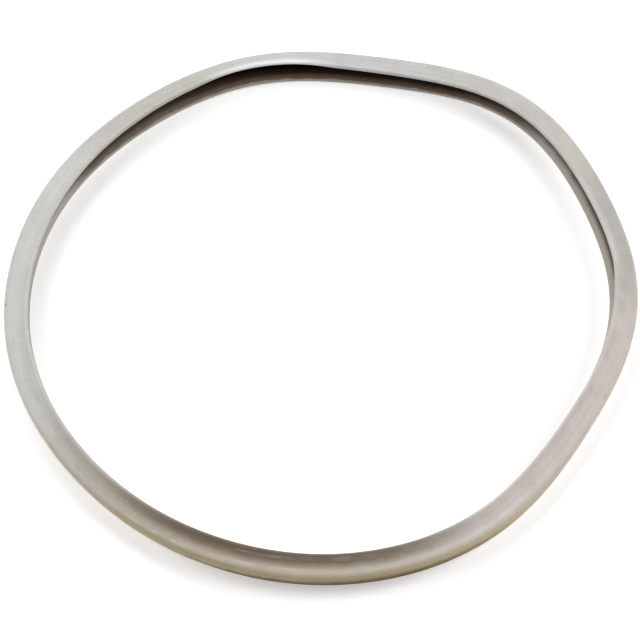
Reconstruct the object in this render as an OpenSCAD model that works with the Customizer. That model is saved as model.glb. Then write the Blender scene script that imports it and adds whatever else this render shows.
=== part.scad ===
// Sealing ring of a stovetop pressure cooker, as it lies on a table after use.
// One moulded piece of silicone: an outer wall with two lips that flare apart and
// reach inwards, so its section is a C that opens towards the centre.
// Millimetres, +Z up. The origin is the centre of the ring's footprint, on the table.

/* [Ring] */
// Mean outside diameter
ring_d = 235; // [180:1:300]
// Height of the outer wall, over both of its rounded corners
wall_h = 6.1; // [5.8:0.1:9]
// Thickness of the outer wall
wall_t = 2.6; // [2:0.1:3.6]
// Radius of the two outer corners
corner_r = 2; // [0.6:0.1:2.8]
// Radius of the hollow between the lips, at the back
back_r = 0.9; // [0.3:0.1:0.9]

/* [Lips] */
// Reach of the upper lip, from the outside of the wall to its tip
upper_reach = 9.2; // [8:0.1:12]
// Reach of the lower lip, from the outside of the wall to its tip
lower_reach = 9.5; // [8:0.1:12]
// Rise of a lip's face from the wall to its tip
lip_flare = 2.4; // [0:0.1:3]
// Thickness of a lip where it leaves the wall
lip_root_t = 1.9; // [1.4:0.1:2]
// Thickness of a lip at its tip
lip_tip_t = 1.6; // [1:0.1:1.8]
// How late along its reach a lip curves away (1 is a straight lip)
lip_bend = 2.4; // [1:0.1:3]

/* [Out of round] */
// Size of the two-lobed wave in the ring's radius
round_2 = 2; // [0:0.05:4]
// Direction of one of its lobes
round_2_at = 26; // [-180:1:180]
// Size of the three-lobed wave
round_3 = 1.85; // [0:0.05:4]
// Direction of one of its lobes
round_3_at = 36; // [-180:1:180]
// Size of the four-lobed wave
round_4 = 0.75; // [0:0.05:2]
// Direction of one of its lobes
round_4_at = 13; // [-180:1:180]
// Size of the five-lobed wave
round_5 = 0.25; // [0:0.05:1.5]
// Direction of one of its lobes
round_5_at = -20; // [-180:1:180]
// Size of the six-lobed wave
round_6 = 0.75; // [0:0.05:1]
// Direction of one of its lobes
round_6_at = -7; // [-180:1:180]
// Size of the seven-lobed wave
round_7 = 0.6; // [0:0.05:0.8]
// Direction of one of its lobes
round_7_at = -2; // [-180:1:180]
// Size of the eight-lobed wave
round_8 = 0.25; // [0:0.05:0.6]
// Direction of one of its lobes
round_8_at = 4; // [-180:1:180]

/* [Off the table] */
// Lean of the whole ring, as the rise at its high side
lean = 0.85; // [0:0.05:3]
// Direction of the high side
lean_at = -22; // [-180:1:180]
// Size of the two-lobed wave in the ring's height
height_2 = 0.6; // [0:0.05:3]
// Direction of one of its high places
height_2_at = 63; // [-180:1:180]
// Size of the three-lobed wave in the ring's height
height_3 = 1.6; // [0:0.05:3]
// Direction of one of its high places
height_3_at = 30; // [-180:1:180]

/* [Roll of the section] */
// Size in degrees of the two-lobed roll, which lifts the tips of the lips
roll_2 = 4.5; // [0:0.1:8]
// Direction of one of its highest places
roll_2_at = 19; // [-180:1:180]
// Size in degrees of the three-lobed roll
roll_3 = 7.4; // [0:0.1:10]
// Direction of one of its highest places
roll_3_at = -11; // [-180:1:180]
// Size in degrees of the four-lobed roll
roll_4 = 1.5; // [0:0.1:5]
// Direction of one of its highest places
roll_4_at = 21; // [-180:1:180]

/* [Fineness] */
// Number of sections round the ring
stations = 180; // [96:4:188]

/* [Hidden] */
silicone_grey = "#BDBBB5";

// Each wave is [lobes, size, direction of a lobe].
radius_waves = [
    [2, round_2, round_2_at],
    [3, round_3, round_3_at],
    [4, round_4, round_4_at],
    [5, round_5, round_5_at],
    [6, round_6, round_6_at],
    [7, round_7, round_7_at],
    [8, round_8, round_8_at]
];
height_waves = [
    [1, lean, lean_at],
    [2, height_2, height_2_at],
    [3, height_3, height_3_at]
];
roll_waves = [
    [2, roll_2, roll_2_at],
    [3, roll_3, roll_3_at],
    [4, roll_4, roll_4_at]
];

function sum(v, i = 0) = i < len(v) ? v[i] + sum(v, i + 1) : 0;
function waves_at(waves, a) = sum([for (w = waves) w[1] * cos(w[0] * (a - w[2]))]);
function waves_slope(waves, a) = sum([for (w = waves) -w[0] * w[1] * sin(w[0] * (a - w[2]))]);
function arc(centre, r, from, to, steps) =
    [for (i = [0:steps]) centre + r * [cos(from + (to - from) * i / steps), sin(from + (to - from) * i / steps)]];

// One half of the section, drawn for the upper lip: x runs inwards from the outside
// of the wall, y runs up from the middle of the wall.
corner_steps = 3;
face_steps = 4;
tip_steps = 4;
inside_steps = 3;
inside_bend = 1.8;
back_steps = 2;
half_h = wall_h / 2;
tip_r = lip_tip_t / 2;
root_y = half_h - lip_root_t;

function tip_angle(reach) = atan(lip_bend * lip_flare / (reach - tip_r - corner_r));
function face_end(reach) = reach - tip_r - tip_r * sin(tip_angle(reach));
function tip_centre(reach) =
    [reach - tip_r, half_h + lip_flare - tip_r * cos(tip_angle(reach))];
function lip_face(reach) =
    [for (i = [1:face_steps - 1])
        let (s = i / face_steps)
        [corner_r + (face_end(reach) - corner_r) * s, half_h + lip_flare * pow(s, lip_bend)]];
function lip_tip(reach) =
    arc(tip_centre(reach), tip_r, 90 + tip_angle(reach), tip_angle(reach) - 90, tip_steps);
function lip_inside(from, to) =
    [for (i = [inside_steps - 1:-1:1])
        let (s = i / inside_steps)
        [to[0] + (from[0] - to[0]) * s, to[1] + (from[1] - to[1]) * pow(s, inside_bend)]];
function half_section(reach) = concat(
    arc([corner_r, half_h - corner_r], corner_r, 180, 90, corner_steps),
    lip_face(reach),
    lip_tip(reach),
    lip_inside(lip_tip(reach)[tip_steps], [wall_t + back_r, root_y]),
    arc([wall_t + back_r, root_y - back_r], back_r, 90, 180, back_steps)
);

function flipped(points) = [for (i = [len(points) - 1:-1:0]) [points[i][0], -points[i][1]]];
section = concat(half_section(upper_reach), flipped(half_section(lower_reach)));

// The section at angle a, turned to face outwards and rolled, then set on the ring.
function section_at(a) =
    let (
        r = ring_d / 2 + waves_at(radius_waves, a),
        facing = a - atan(waves_slope(radius_waves, a) / r),
        roll = waves_at(roll_waves, a),
        out = [cos(facing), sin(facing), 0],
        up = [0, 0, 1],
        inward = up * sin(roll) - out * cos(roll),
        upward = up * cos(roll) + out * sin(roll),
        place = [r * cos(a), r * sin(a), waves_at(height_waves, a)]
    )
    [for (p = section) place + inward * p[0] + upward * p[1]];

ring_points = [for (i = [0:stations - 1]) each section_at(360 * i / stations)];
side = len(section);
ring_faces = [
    for (i = [0:stations - 1], j = [0:side - 1])
        let (
            i2 = (i + 1) % stations,
            j2 = (j + 1) % side,
            a = i * side + j,
            b = i2 * side + j,
            c = i2 * side + j2,
            d = i * side + j2
        )
        each [[a, b, c], [a, c, d]]
];
function middle(axis) =
    let (v = [for (p = ring_points) p[axis]])
    (min(v) + max(v)) / 2;
floor_z = min([for (p = ring_points) p[2]]);

module sealing_ring() {
    color(silicone_grey)
    translate([-middle(0), -middle(1), -floor_z])
    polyhedron(points = ring_points, faces = ring_faces, convexity = 6);
}

sealing_ring();
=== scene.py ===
from math import atan, cos, degrees, dist, pi, radians, sin

import bmesh
import bpy
from mathutils import Matrix, Vector


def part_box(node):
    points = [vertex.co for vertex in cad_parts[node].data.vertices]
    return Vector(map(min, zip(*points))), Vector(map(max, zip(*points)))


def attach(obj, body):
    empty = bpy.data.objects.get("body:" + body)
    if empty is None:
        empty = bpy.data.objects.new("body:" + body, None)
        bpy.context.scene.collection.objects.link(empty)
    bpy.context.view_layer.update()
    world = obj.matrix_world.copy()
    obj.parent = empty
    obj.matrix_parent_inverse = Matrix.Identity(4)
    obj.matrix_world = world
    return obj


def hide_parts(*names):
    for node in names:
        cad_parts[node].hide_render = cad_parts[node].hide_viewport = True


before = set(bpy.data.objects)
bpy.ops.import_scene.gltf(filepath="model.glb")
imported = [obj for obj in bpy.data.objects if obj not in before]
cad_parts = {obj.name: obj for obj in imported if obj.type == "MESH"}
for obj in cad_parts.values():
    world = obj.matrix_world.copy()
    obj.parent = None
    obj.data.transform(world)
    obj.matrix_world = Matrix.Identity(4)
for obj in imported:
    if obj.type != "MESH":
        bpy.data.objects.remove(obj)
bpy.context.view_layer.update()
cad_low, cad_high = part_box("sealing_ring")


# ---------------------------------------------------------------------------
# Sealing ring
# One moulded piece of silicone: an outer wall with two thin lips that flare
# apart and reach inwards. Nothing is fastened to it. Years of heat and steam
# have left it slack, so it lies a little out of round and its lips roll.
# ---------------------------------------------------------------------------

MM = 0.001

# The ring and its section, as in the plain solid.
ring_d = 235 * MM
wall_h = 6.1 * MM
wall_t = 2.6 * MM
corner_r = 2.0 * MM
back_r = 0.9 * MM
upper_reach = 9.2 * MM
lower_reach = 9.5 * MM
lip_flare = 2.4 * MM
lip_root_t = 1.9 * MM
lip_tip_t = 1.6 * MM
lip_bend = 2.4
inside_bend = 1.8

# What moulding and use have added: a flash line, unevenness, and a nick in the outer corner.
flash_h = 0.12 * MM
wobble = 0.12 * MM
lip_flutter = 0.3 * MM
lip_give = 2.5
nick_size = 1.5 * MM
nick_depth = 0.6 * MM
nick_direction = radians(180.5)
nick_inwards = 0.3 * MM
nick_up = 1.9 * MM

# Fineness: points along each stretch of the section, and sections round the ring.
corner_steps = 6
face_steps = 10
tip_steps = 10
inner_steps = 6
back_steps = 5
sections_round = 1248

# Waves in the slack ring: lobes, size, direction of one lobe.
radius_waves = [
    (2, 2.0 * MM, radians(26)),
    (3, 1.85 * MM, radians(36)),
    (4, 0.75 * MM, radians(13)),
    (5, 0.25 * MM, radians(-20)),
    (6, 0.75 * MM, radians(-7)),
    (7, 0.6 * MM, radians(-2)),
    (8, 0.25 * MM, radians(4)),
]
height_waves = [
    (1, 0.85 * MM, radians(-22)),
    (2, 0.6 * MM, radians(63)),
    (3, 1.6 * MM, radians(30)),
]
roll_waves = [
    (2, radians(4.5), radians(19)),
    (3, radians(7.4), radians(-11)),
    (4, radians(1.5), radians(21)),
]
# Where the upper lip curls up or leans in: name, lift and lean of its tip, direction, half width.
lip_curls = [
    ("Curl", 1.8 * MM, 0.0, radians(102), radians(16)),
    ("Lean", -0.5 * MM, 0.9 * MM, radians(-6), radians(14)),
]


def arc(cx, cy, r, start, end, steps):
    angles = [radians(start + (end - start) * i / steps) for i in range(steps + 1)]
    return [(cx + r * cos(a), cy + r * sin(a)) for a in angles]


def half_section(reach):
    """Half of the section: x runs inwards from the outer wall, y runs up from the wall's middle."""
    half_h = wall_h / 2
    tip_r = lip_tip_t / 2
    root_y = half_h - lip_root_t
    slope = atan(lip_bend * lip_flare / (reach - tip_r - corner_r))
    face_end = reach - tip_r - tip_r * sin(slope)
    corner = arc(corner_r, half_h - corner_r, corner_r, 180, 90, corner_steps)
    face = []
    for i in range(1, face_steps):
        s = i / face_steps
        face.append((corner_r + (face_end - corner_r) * s, half_h + lip_flare * s**lip_bend))
    tip_y = half_h + lip_flare - tip_r * cos(slope)
    tip_turn = degrees(slope)
    tip = arc(reach - tip_r, tip_y, tip_r, 90 + tip_turn, tip_turn - 90, tip_steps)
    back = arc(wall_t + back_r, root_y - back_r, back_r, 90, 180, back_steps)
    inner = []
    for i in range(inner_steps - 1, 0, -1):
        s = i / inner_steps
        x = back[0][0] + (tip[-1][0] - back[0][0]) * s
        inner.append((x, back[0][1] + (tip[-1][1] - back[0][1]) * s**inside_bend))
    return corner + face + tip + inner + back


def lower_side(points):
    return [(x, -y) for x, y in reversed(points)]


upper_half = half_section(upper_reach)
lower_half = half_section(lower_reach)
flash_line = [(0, -flash_h), (-flash_h, 0), (0, flash_h)]
section = upper_half + lower_side(lower_half) + flash_line
tip_middle = corner_steps + face_steps + tip_steps // 2


def into_hollow(index, x):
    """0 on the outside of the section, rising to 1 at the back of the hollow between the lips."""
    if tip_middle <= index < len(upper_half) + len(lower_half) - tip_middle:
        return min(1, max(0, (lower_reach - x) / (lower_reach - wall_t)))
    return 0


def way_across(index):
    """Distance along the section from the middle of the outer wall, up and over or down and under."""
    points = [(0, 0)] + (upper_half if index < len(upper_half) else lower_half)
    steps = [dist(p, q) for p, q in zip(points, points[1:])]
    if index < len(upper_half):
        return sum(steps[: index + 1])
    return -sum(steps[: max(0, len(upper_half) + len(lower_half) - index)])


# The section is drawn turned half round, because the sweep turns it back. It carries four values
# that the lips' curls and the silicone read: how far out along a lip, how deep in the hollow,
# how far across the section from the middle of the wall, and whether it is the upper half.
outline_mesh = bpy.data.meshes.new("section_outline")
outline_edges = [(i, (i + 1) % len(section)) for i in range(len(section))]
outline_mesh.from_pydata([(-x, -y, 0) for x, y in section], outline_edges, [])
section_values = {
    "lip": [max(0, x / lower_reach) for x, y in section],
    "hollow": [into_hollow(i, x) for i, (x, y) in enumerate(section)],
    "across": [way_across(i) for i in range(len(section))],
    "top": [float(y > 0) for x, y in section],
}
for name, values in section_values.items():
    outline_mesh.attributes.new(name, "FLOAT", "POINT").data.foreach_set("value", values)
outline = bpy.data.objects.new("section_outline", outline_mesh)
bpy.context.scene.collection.objects.link(outline)


def add(tree, kind, **settings):
    """Adds a node and sets its options."""
    made = tree.nodes.new(kind)
    for key, value in settings.items():
        setattr(made, key, value)
    return made


def feed(target, socket, source):
    """Plugs a socket, or sets its value when the source is a plain value."""
    if isinstance(source, bpy.types.NodeSocket):
        target.id_data.links.new(source, target.inputs[socket])
    else:
        target.inputs[socket].default_value = source


def math(tree, operation, a, b=None):
    made = add(tree, "ShaderNodeMath", operation=operation)
    feed(made, 0, a)
    if b is not None:
        feed(made, 1, b)
    return made.outputs[0]


def product(tree, *factors):
    whole = factors[0]
    for factor in factors[1:]:
        whole = math(tree, "MULTIPLY", whole, factor)
    return whole


def total(tree, *parts):
    whole = parts[0]
    for part in parts[1:]:
        whole = math(tree, "ADD", whole, part)
    return whole


def vector(tree, operation, a, b=None):
    made = add(tree, "ShaderNodeVectorMath", operation=operation)
    feed(made, 0, a)
    if b is not None:
        feed(made, 1, b)
    return made


def rise(tree, value, start, end, low=0.0, high=1.0):
    """Turns a value smoothly from low to high as it goes from start to end."""
    made = add(tree, "ShaderNodeMapRange", interpolation_type="SMOOTHSTEP")
    for socket, source in enumerate((value, start, end, low, high)):
        feed(made, socket, source)
    return made.outputs[0]


def noise(tree, place, scale, seed, detail=2.0):
    """Smooth noise from about 0 to 1."""
    made = add(tree, "ShaderNodeTexNoise", noise_dimensions="4D")
    feed(made, "Vector", place)
    feed(made, "W", seed)
    feed(made, "Scale", scale)
    feed(made, "Detail", detail)
    return made.outputs[0]


def round_the_ring(tree, place):
    """The direction of a place from the ring's middle, as a flat vector one unit long."""
    flat = vector(tree, "MULTIPLY", place, (1, 1, 0)).outputs[0]
    return vector(tree, "NORMALIZE", flat).outputs[0]


ring_tree = bpy.data.node_groups.new("slack_ring", "GeometryNodeTree")
ring_tree.interface.new_socket("Geometry", in_out="OUTPUT", socket_type="NodeSocketGeometry")
ring_inputs = {}


def ring_input(name, kind, value):
    socket = ring_tree.interface.new_socket(name, in_out="INPUT", socket_type=kind)
    ring_inputs[socket.identifier] = value


def waves_at(waves, a):
    return sum(size * cos(lobes * (a - direction)) for lobes, size, direction in waves)


def wall_place(a, inwards, up):
    """The place at the angle a that is so far inwards and up from the middle of the outer wall."""
    r = ring_d / 2 + waves_at(radius_waves, a) - inwards
    return (r * cos(a), r * sin(a), waves_at(height_waves, a) + up)


# What the ring is made from. The material is filled in further down.
silicone = bpy.data.materials.new("aged_silicone")
ring_input("Diameter", "NodeSocketFloat", ring_d)
ring_input("Sections", "NodeSocketInt", sections_round)
ring_input("Outline", "NodeSocketObject", outline)
ring_input("Silicone", "NodeSocketMaterial", silicone)
ring_input("Wobble", "NodeSocketFloat", wobble)
ring_input("Lip flutter", "NodeSocketFloat", lip_flutter)
for name, lift, lean, direction, half_width in lip_curls:
    ring_input(f"{name} lift", "NodeSocketFloat", lift)
    ring_input(f"{name} lean", "NodeSocketFloat", lean)
    ring_input(f"{name} direction", "NodeSocketFloat", direction)
    ring_input(f"{name} half width", "NodeSocketFloat", half_width)
ring_input("Nick depth", "NodeSocketFloat", nick_depth)
ring_input("Nick size", "NodeSocketFloat", nick_size)
ring_input("Nick place", "NodeSocketVector", wall_place(nick_direction, nick_inwards, nick_up))
for label, waves in (("Round", radius_waves), ("Height", height_waves), ("Roll", roll_waves)):
    for lobes, size, direction in waves:
        ring_input(f"{label} {lobes} size", "NodeSocketFloat", size)
        ring_input(f"{label} {lobes} direction", "NodeSocketFloat", direction)

given = add(ring_tree, "NodeGroupInput").outputs
station = add(ring_tree, "GeometryNodeInputIndex").outputs[0]
angle = math(ring_tree, "DIVIDE", product(ring_tree, station, 2 * pi), given["Sections"])


def wave_sum(label, waves):
    whole = 0.0
    for lobes, *_ in waves:
        turn = math(ring_tree, "SUBTRACT", angle, given[f"{label} {lobes} direction"])
        swing = math(ring_tree, "COSINE", product(ring_tree, turn, lobes))
        whole = total(ring_tree, product(ring_tree, swing, given[f"{label} {lobes} size"]), whole)
    return whole


def uneven(scale, seed, size):
    """Noise from about minus half of size to half of it."""
    where = add(ring_tree, "GeometryNodeInputPosition").outputs[0]
    centred = math(ring_tree, "SUBTRACT", noise(ring_tree, where, scale, seed), 0.5)
    return product(ring_tree, centred, size)


def place_at(turn, radius, height):
    """A place given by its direction, its distance from the middle and its height."""
    made = add(ring_tree, "ShaderNodeCombineXYZ")
    feed(made, "X", product(ring_tree, radius, math(ring_tree, "COSINE", turn)))
    feed(made, "Y", product(ring_tree, radius, math(ring_tree, "SINE", turn)))
    feed(made, "Z", height)
    return made.outputs[0]


def carried(tree, name):
    """Reads a value that the mesh carries from point to point."""
    if tree.bl_idname == "GeometryNodeTree":
        made = add(tree, "GeometryNodeInputNamedAttribute", data_type="FLOAT")
        feed(made, "Name", name)
        return made.outputs[0]
    return add(tree, "ShaderNodeAttribute", attribute_name=name).outputs["Fac"]


def moved(geometry, offset):
    made = add(ring_tree, "GeometryNodeSetPosition")
    feed(made, "Geometry", geometry)
    feed(made, "Offset", offset)
    return made.outputs[0]


# The slack centre line: a circle pushed out of round and off the table.
circle = add(ring_tree, "GeometryNodeCurvePrimitiveCircle")
feed(circle, "Resolution", given["Sections"])
mean_radius = math(ring_tree, "DIVIDE", given["Diameter"], 2.0)
feed(circle, "Radius", mean_radius)
unevenness = uneven(scale=30.0, seed=2.0, size=given["Wobble"])
radius = total(ring_tree, mean_radius, wave_sum("Round", radius_waves), unevenness)
laid = add(ring_tree, "GeometryNodeSetPosition")
feed(laid, "Geometry", circle.outputs[0])
feed(laid, "Position", place_at(angle, radius, wave_sum("Height", height_waves)))
upright = add(ring_tree, "GeometryNodeSetCurveNormal", mode="Z_UP")
feed(upright, "Curve", laid.outputs[0])
rolled = add(ring_tree, "GeometryNodeSetCurveTilt")
feed(rolled, "Curve", upright.outputs[0])
feed(rolled, "Tilt", wave_sum("Roll", roll_waves))

# The section swept along it.
shape = add(ring_tree, "GeometryNodeObjectInfo")
feed(shape, "Object", given["Outline"])
shape_curve = add(ring_tree, "GeometryNodeMeshToCurve")
feed(shape_curve, 0, shape.outputs["Geometry"])
sweep = add(ring_tree, "GeometryNodeCurveToMesh")
feed(sweep, "Curve", rolled.outputs[0])
feed(sweep, "Profile Curve", shape_curve.outputs[0])

# The thin lips flutter, and the upper one curls up in one place and leans in at another.
where = add(ring_tree, "GeometryNodeInputPosition").outputs[0]
around = round_the_ring(ring_tree, where)
lip_bends = math(ring_tree, "POWER", carried(ring_tree, "lip"), lip_give)
flutter = product(ring_tree, lip_bends, uneven(scale=22.0, seed=5.0, size=given["Lip flutter"]))
upper_lip = product(ring_tree, lip_bends, carried(ring_tree, "top"))
raised, leaned = flutter, 0.0
for name, *_ in lip_curls:
    way = place_at(given[f"{name} direction"], 1.0, 0.0)
    closeness = vector(ring_tree, "DOT_PRODUCT", around, way).outputs["Value"]
    edge_of_it = math(ring_tree, "COSINE", given[f"{name} half width"])
    share = product(ring_tree, rise(ring_tree, closeness, edge_of_it, 1.0), upper_lip)
    raised = total(ring_tree, raised, product(ring_tree, share, given[f"{name} lift"]))
    leaned = math(ring_tree, "SUBTRACT", leaned, product(ring_tree, share, given[f"{name} lean"]))
lift = add(ring_tree, "ShaderNodeCombineXYZ")
feed(lift, "Z", raised)
lean = vector(ring_tree, "SCALE", around)
feed(lean, "Scale", leaned)
curled = vector(ring_tree, "ADD", lift.outputs[0], lean.outputs[0]).outputs[0]
soft_lips = moved(sweep.outputs[0], curled)

# The small nick in the upper outer corner.
nick_far = vector(ring_tree, "DISTANCE", where, given["Nick place"]).outputs["Value"]
nick_share = rise(ring_tree, nick_far, 0.0, given["Nick size"], low=1.0, high=0.0)
nick_way = vector(ring_tree, "SCALE", round_the_ring(ring_tree, where))
feed(nick_way, "Scale", product(ring_tree, nick_share, given["Nick depth"], -1.0))
nicked = moved(soft_lips, nick_way.outputs[0])
keep_nick = add(ring_tree, "GeometryNodeStoreNamedAttribute", data_type="FLOAT", domain="POINT")
feed(keep_nick, "Geometry", nicked)
feed(keep_nick, "Name", "nick")
feed(keep_nick, "Value", nick_share)
real = add(ring_tree, "GeometryNodeRealizeInstances")
feed(real, 0, keep_nick.outputs[0])
coated = add(ring_tree, "GeometryNodeSetMaterial")
feed(coated, "Geometry", real.outputs[0])
feed(coated, "Material", given["Silicone"])
feed(add(ring_tree, "NodeGroupOutput"), 0, coated.outputs[0])

maker = bpy.data.objects.new("ring_maker", bpy.data.meshes.new("ring_maker"))
bpy.context.scene.collection.objects.link(maker)
sweeping = maker.modifiers.new("slack_ring", "NODES")
sweeping.node_group = ring_tree
for identifier, value in ring_inputs.items():
    sweeping[identifier] = value
bpy.context.view_layer.update()
evaluated = maker.evaluated_get(bpy.context.evaluated_depsgraph_get())
ring_mesh = bpy.data.meshes.new_from_object(evaluated)
ring = bpy.data.objects.new("silicone_ring", ring_mesh)
bpy.context.scene.collection.objects.link(ring)
bpy.data.objects.remove(maker)
bpy.data.objects.remove(outline)

# Set down where the plain solid stands, with its faces outwards and smooth.
low, high = (Vector([f(v.co[k] for v in ring_mesh.vertices) for k in range(3)]) for f in (min, max))
shift = (cad_low + cad_high) / 2 - (low + high) / 2
shift.z = cad_low.z - low.z
ring_mesh.transform(Matrix.Translation(shift))
bm = bmesh.new()
bm.from_mesh(ring_mesh)
bmesh.ops.recalc_face_normals(bm, faces=bm.faces)
bm.to_mesh(ring_mesh)
bm.free()
ring_mesh.shade_smooth()

# Aged silicone, cloudy and blotched, with the fine grain of the mould.
silicone.use_nodes = True
skin = silicone.node_tree
surface = skin.nodes["Principled BSDF"]
place = add(skin, "ShaderNodeTexCoord").outputs["Object"]
around = round_the_ring(skin, place)
lip, hollow, across, top, nick = (
    carried(skin, name) for name in ("lip", "hollow", "across", "top", "nick")
)


def near(direction, half_width):
    """1 in one direction from the middle, falling to 0 at half_width degrees to either side."""
    a = radians(direction)
    closeness = vector(skin, "DOT_PRODUCT", around, (cos(a), sin(a), 0)).outputs["Value"]
    return rise(skin, closeness, cos(radians(half_width)), 1.0)


clouds = noise(skin, place, scale=38.0, seed=1.0, detail=4.0)
blotches = noise(skin, place, scale=160.0, seed=2.0, detail=5.0)
grain = noise(skin, place, scale=1500.0, seed=3.0, detail=3.0)

# Lines that run along the ring, as the mould was turned: short steps across, long steps round.
lines_across = 900.0
lines_round = 2.2
across_only = add(skin, "ShaderNodeCombineXYZ")
feed(across_only, "Z", product(skin, across, lines_across))
stretched = vector(skin, "SCALE", around)
feed(stretched, "Scale", lines_round)
along = vector(skin, "ADD", stretched.outputs[0], across_only.outputs[0]).outputs[0]
mould_lines = noise(skin, along, scale=1.6, seed=4.0, detail=3.0)
smears = noise(skin, along, scale=0.55, seed=5.0, detail=5.0)


def blend(share, a, b):
    """Mixes two colours, which are sockets 6 and 7 of the Mix node."""
    made = add(skin, "ShaderNodeMix", data_type="RGBA")
    feed(made, 0, share)
    feed(made, 6, a)
    feed(made, 7, b)
    return made.outputs[2]


def paint(colour, share, layer):
    """Lays a colour over what is there; share says how much of it shows."""
    return blend(share, colour, (*layer, 1))


soft_grey = (0.5, 0.485, 0.455)
bleached_grey = (0.545, 0.548, 0.53)
cool_grey = (0.5, 0.502, 0.515)
dusk_grey = (0.44, 0.43, 0.39)
pink_grey = (0.58, 0.515, 0.482)
tan = (0.43, 0.375, 0.295)
lip_shade_brown = (0.185, 0.137, 0.095)
wall_yellow = (0.5, 0.395, 0.21)
low_olive_shade = (0.12, 0.082, 0.025)
hollow_tan_stain_and_shade = (0.36, 0.31, 0.25)
hollow_brown_stain_and_shade = (0.14, 0.092, 0.06)
hollow_dark_shadow = (0.02, 0.006, 0.002)
haze_white = (0.7, 0.7, 0.68)
scuff_and_highlight_white = (0.78, 0.79, 0.8)
nick_brown = (0.1, 0.085, 0.07)
speck_brown = (0.16, 0.13, 0.1)
speck_white = (0.8, 0.8, 0.78)

# Where the marks are: direction and half width in degrees, from the right and anticlockwise.
lip_edge_highlight_side = (14, 22)
near_lip_shade_side = (262, 43)
yellowed_side = (270, 66)
olive_side = (273, 40)
open_far_side = (96, 62)
scuff_and_highlight_curl = (101, 15)

# How far the wall's yellow stain and its painted low shade reach, along the section from the middle
# of the wall.
yellow_fades_up = (0.0, 4.6 * MM)
yellow_ends_below = (-6.5 * MM, -4.5 * MM)
olive_fades_up = (-1.2 * MM, 1.6 * MM)

# Each side has aged its own way: direction, half width, how much, which shade.
aged_sides = [
    (185, 60, 0.9, bleached_grey),
    (90, 30, 0.8, cool_grey),
    (123, 24, 0.8, dusk_grey),
    (-20, 66, 0.95, pink_grey),
    (14, 20, 1.0, dusk_grey),
    (252, 56, 0.9, tan),
]
colour = paint(blend(clouds, (*soft_grey, 1), (*bleached_grey, 1)), 0.75, soft_grey)
for direction, half_width, share, shade in aged_sides:
    cloudy = rise(skin, clouds, 0.2, 0.6, low=0.7, high=1.0)
    patch = product(skin, near(direction, half_width), cloudy)
    colour = paint(colour, product(skin, patch, share), shade)

# A painted highlight: the upper lip's edge is paler beside the dusky patch on the right.
lip_edge_highlight = product(skin, near(*lip_edge_highlight_side), rise(skin, lip, 0.62, 0.9), top, 0.9)
colour = paint(colour, lip_edge_highlight, bleached_grey)

# Painted shade: ragged brown darkening over the inner parts of the lips on the near side.
blotchy = math(skin, "SUBTRACT", blotches, 0.5)
lip_and_blotches = total(skin, lip, product(skin, blotchy, 0.35))
near_lip_shade = product(skin, near(*near_lip_shade_side), rise(skin, lip_and_blotches, 0.27, 0.73), 0.95)
colour = paint(colour, near_lip_shade, lip_shade_brown)

# Yellowed outer wall, and painted shade in dark olive on its lower half at the near side.
up_the_wall = rise(skin, across, *yellow_fades_up, low=1.0, high=0.0)
wall_only = product(skin, up_the_wall, rise(skin, across, *yellow_ends_below))
yellowed = total(skin, product(skin, near(*yellowed_side), 0.78), 0.22)
yellowed = product(skin, yellowed, wall_only, rise(skin, blotches, 0.1, 0.6, low=0.75, high=1.0))
colour = paint(colour, yellowed, wall_yellow)
under = product(skin, wall_only, rise(skin, across, *olive_fades_up, low=1.0, high=0.0))
colour = paint(colour, product(skin, near(*olive_side), under), low_olive_shade)

# Brown in the hollow, partly baked-on stain and partly painted shade, with a painted shadow darkest
# at its back and where the far lip stands open.
lower_tip = product(skin, math(skin, "SUBTRACT", 1.0, top), rise(skin, lip, 0.88, 0.98))
ragged = product(skin, blotchy, rise(skin, hollow, 0.0, 0.06), 0.2)
edge = total(skin, hollow, math(skin, "SUBTRACT", ragged, product(skin, top, 0.14)))
stain_and_shade = math(skin, "MAXIMUM", rise(skin, edge, 0.0, 0.1), lower_tip)
far_side = total(skin, near(*open_far_side), product(skin, clouds, 0.1))
far_side_shade = rise(skin, far_side, 0.08, 0.4)
colour = paint(colour, product(skin, stain_and_shade, 0.6), hollow_tan_stain_and_shade)
colour = paint(colour, product(skin, rise(skin, edge, 0.02, 0.14), far_side_shade, 0.96), hollow_brown_stain_and_shade)
deep = product(skin, rise(skin, edge, 0.14, 0.42), rise(skin, far_side_shade, 0.0, 1.0, low=0.82, high=0.98))
colour = paint(colour, deep, hollow_dark_shadow)

# Scuffed pale with a painted highlight where the lip curls, streaks of lime, the dark nick, and
# specks.
scuff_and_highlight = product(skin, near(*scuff_and_highlight_curl), rise(skin, lip, 0.35, 0.75), 0.9)
outer_side = math(skin, "SUBTRACT", 1.0, stain_and_shade)
colour = paint(colour, product(skin, scuff_and_highlight, outer_side, top), scuff_and_highlight_white)
haze = product(skin, rise(skin, smears, 0.52, 0.72), rise(skin, blotches, 0.35, 0.6), outer_side, 0.3)
colour = paint(colour, haze, haze_white)
colour = paint(colour, product(skin, rise(skin, nick, 0.25, 0.75), 0.9), nick_brown)


def specks(scale, seed, radius, share):
    """Round specks scattered over the skin; only some of the cells hold one."""
    cells = add(skin, "ShaderNodeTexVoronoi", voronoi_dimensions="4D")
    feed(cells, "Vector", place)
    feed(cells, "W", seed)
    feed(cells, "Scale", scale)
    dot = rise(skin, cells.outputs["Distance"], radius * 0.6, radius, low=1.0, high=0.0)
    pick = add(skin, "ShaderNodeSeparateColor")
    feed(pick, 0, cells.outputs["Color"])
    return product(skin, dot, rise(skin, pick.outputs[0], 1 - share, 1 - share * 0.8))


dark_specks = specks(scale=430.0, seed=6.0, radius=0.16, share=0.1)
pale_specks = specks(scale=620.0, seed=7.0, radius=0.2, share=0.12)
colour = paint(colour, product(skin, dark_specks, 0.6), speck_brown)
colour = paint(colour, product(skin, pale_specks, outer_side, 0.5), speck_white)

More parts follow.
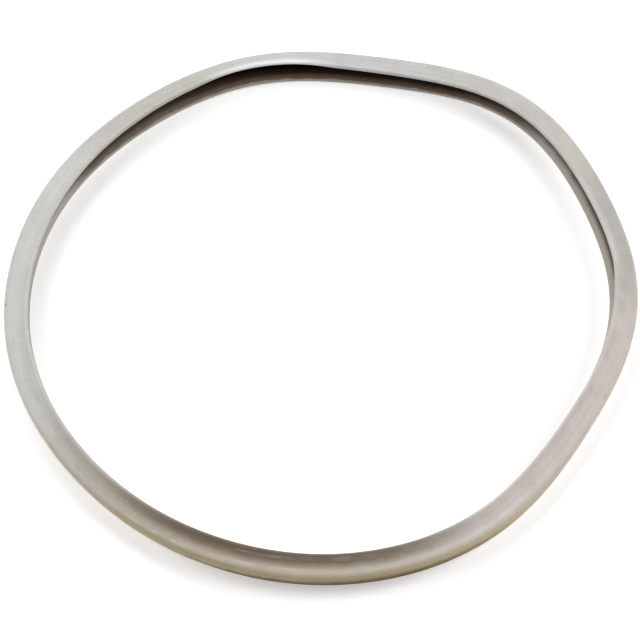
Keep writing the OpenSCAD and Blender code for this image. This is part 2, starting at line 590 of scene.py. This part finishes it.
# Fine light and dark, then how dull each place is, then the relief.
light_grain = add(skin, "ShaderNodeHueSaturation")
mottle = total(skin, grain, mould_lines, blotches)
feed(light_grain, "Value", rise(skin, mottle, 1.0, 2.0, low=0.9, high=1.08))
feed(light_grain, "Color", colour)
feed(surface, "Base Color", light_grain.outputs[0])

satin = rise(skin, smears, 0.3, 0.75, low=0.36, high=0.52)
feed(surface, "Roughness", total(skin, satin, product(skin, haze, 0.25), product(skin, grain, 0.06)))
feed(surface, "IOR", 1.41)
feed(surface, "Specular IOR Level", 0.35)
feed(surface, "Subsurface Weight", 0.12)
feed(surface, "Subsurface Radius", (1.0, 0.8, 0.6))
feed(surface, "Subsurface Scale", 1.2 * MM)

relief = total(
    skin,
    product(skin, grain, 0.35),
    product(skin, mould_lines, 0.5),
    product(skin, blotches, 0.8),
    product(skin, total(skin, dark_specks, pale_specks), 0.5),
)
bump = add(skin, "ShaderNodeBump")
feed(bump, "Strength", 0.6)
feed(bump, "Distance", 0.06 * MM)
feed(bump, "Height", relief)
feed(surface, "Normal", bump.outputs[0])

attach(ring, "root")
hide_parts("sealing_ring")


# ---------------------------------------------------------------------------
# Floor, light and camera
# A white paper sheet on a table, lit from both sides and from behind by round
# softboxes, in a white studio.
# ---------------------------------------------------------------------------

floor_half = 0.9
paper_glow = 0.2
floor_corners = [(x * floor_half, y * floor_half, 0) for x, y in ((-1, -1), (1, -1), (1, 1), (-1, 1))]
floor_mesh = bpy.data.meshes.new("floor")
floor_mesh.from_pydata(floor_corners, [], [(0, 1, 2, 3)])
floor = bpy.data.objects.new("floor", floor_mesh)
bpy.context.scene.collection.objects.link(floor)

# White paper that glows a little. Looked at, it is lighter still, and plain white further out.
paper = bpy.data.materials.new("white_paper")
paper.use_nodes = True
ground = paper.node_tree
sheet = ground.nodes["Principled BSDF"]
spot = add(ground, "ShaderNodeTexCoord").outputs["Object"]
far_out = vector(ground, "LENGTH", spot).outputs["Value"]
looked_at = add(ground, "ShaderNodeLightPath").outputs["Is Camera Ray"]
lighter = product(ground, looked_at, rise(ground, far_out, 0.2, 0.5, low=0.16, high=0.8))
feed(sheet, "Base Color", (0.9, 0.9, 0.9, 1))
feed(sheet, "Roughness", 0.9)
feed(sheet, "Emission Color", (1, 1, 1, 1))
feed(sheet, "Emission Strength", total(ground, lighter, paper_glow))
floor_mesh.materials.append(paper)


def aimed(obj, place, target):
    obj.location = place
    obj.rotation_euler = (Vector(target) - Vector(place)).to_track_quat("-Z", "Y").to_euler()


softbox_size = 1.2
softbox_distance = 1.6


def softbox(name, azimuth, elevation, power):
    light = bpy.data.lights.new(name, "AREA")
    light.shape = "DISK"
    light.size = softbox_size
    light.energy = power
    obj = bpy.data.objects.new(name, light)
    bpy.context.scene.collection.objects.link(obj)
    a, e = radians(azimuth), radians(elevation)
    way = Vector((cos(e) * cos(a), cos(e) * sin(a), sin(e)))
    aimed(obj, way * softbox_distance, (0, 0, 0))


softbox("right", azimuth=0, elevation=40, power=20)
softbox("left", azimuth=180, elevation=40, power=15)
softbox("back", azimuth=110, elevation=37, power=13)

# The studio round the table is seen as white, and gives only a little warm light of its own.
world = bpy.data.worlds.new("studio")
bpy.context.scene.world = world
world.use_nodes = True
room = world.node_tree
glow = room.nodes["Background"]
feed(glow, "Color", (1, 0.93, 0.85, 1))
feed(glow, "Strength", 0.04)
white_wall = add(room, "ShaderNodeBackground")
feed(white_wall, "Color", (1, 1, 1, 1))
either = add(room, "ShaderNodeMixShader")
feed(either, 0, add(room, "ShaderNodeLightPath").outputs["Is Camera Ray"])
feed(either, 1, glow.outputs[0])
feed(either, 2, white_wall.outputs[0])
feed(room.nodes["World Output"], "Surface", either.outputs[0])

camera_elevation = radians(60.32)
camera_distance = 1.402
look_at = Vector((-0.0003, -0.0054, 0.0072))
camera_data = bpy.data.cameras.new("camera")
camera_data.lens = 208.5
camera_data.sensor_width = 36
camera = bpy.data.objects.new("camera", camera_data)
bpy.context.scene.collection.objects.link(camera)
bpy.context.scene.camera = camera
back = Vector((0, -cos(camera_elevation), sin(camera_elevation)))
aimed(camera, look_at + back * camera_distance, look_at)
bpy.context.scene.view_settings.view_transform = "Standard"
